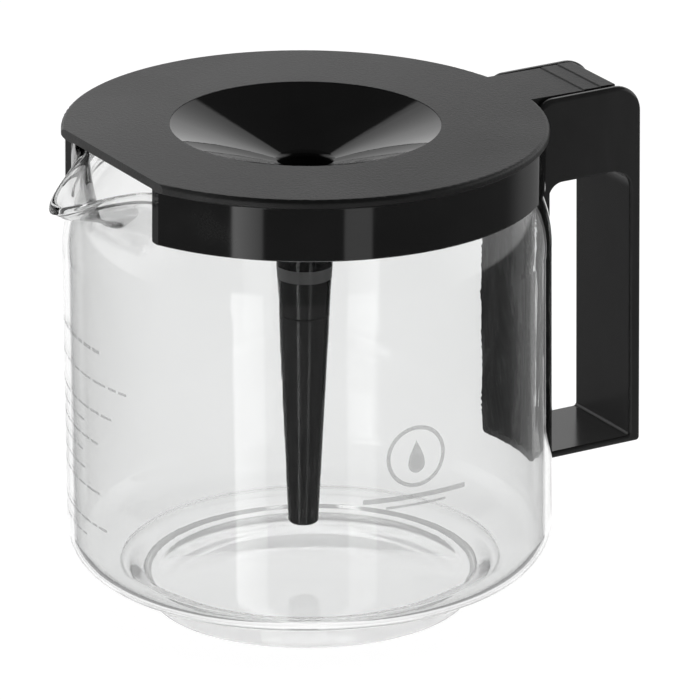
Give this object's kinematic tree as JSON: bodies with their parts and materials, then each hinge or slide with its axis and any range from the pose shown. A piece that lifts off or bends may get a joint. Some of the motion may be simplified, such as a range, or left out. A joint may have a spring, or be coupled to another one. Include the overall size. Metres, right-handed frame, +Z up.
{
  "type": "glass coffee jug",
  "caption": "Glass drip-coffee jug with a pouring spout, a bonded plastic handle and a hinged funnel lid with a mixing tube.",
  "frame": {"origin": "centre of the foot ring, on the plane that the jug stands on", "axes": "+Z up, +X towards the handle, -X towards the spout"},
  "size_m": [0.1786, 0.135, 0.1383],
  "materials": {
    "glass": "clear, fire polished",
    "silicone": "trowelled silicone",
    "gloss_black": "polished moulding",
    "matte_black": "spark-eroded grain"
  },
  "bodies": {
    "jug": {"glass_jug": "glass", "silicone_adhesive": "silicone", "handle_body": "gloss_black"},
    "lid": {"lid_cover": "matte_black", "funnel": "gloss_black", "mixing_tube": "gloss_black"}
  },
  "joints": [
    {"name": "lid_hinge", "type": "hinge", "parent": "jug", "child": "lid", "pos_m": [0.086, 0, 0.125], "axis": [0, 1, 0], "range_deg": [0, 94]}
  ]
}
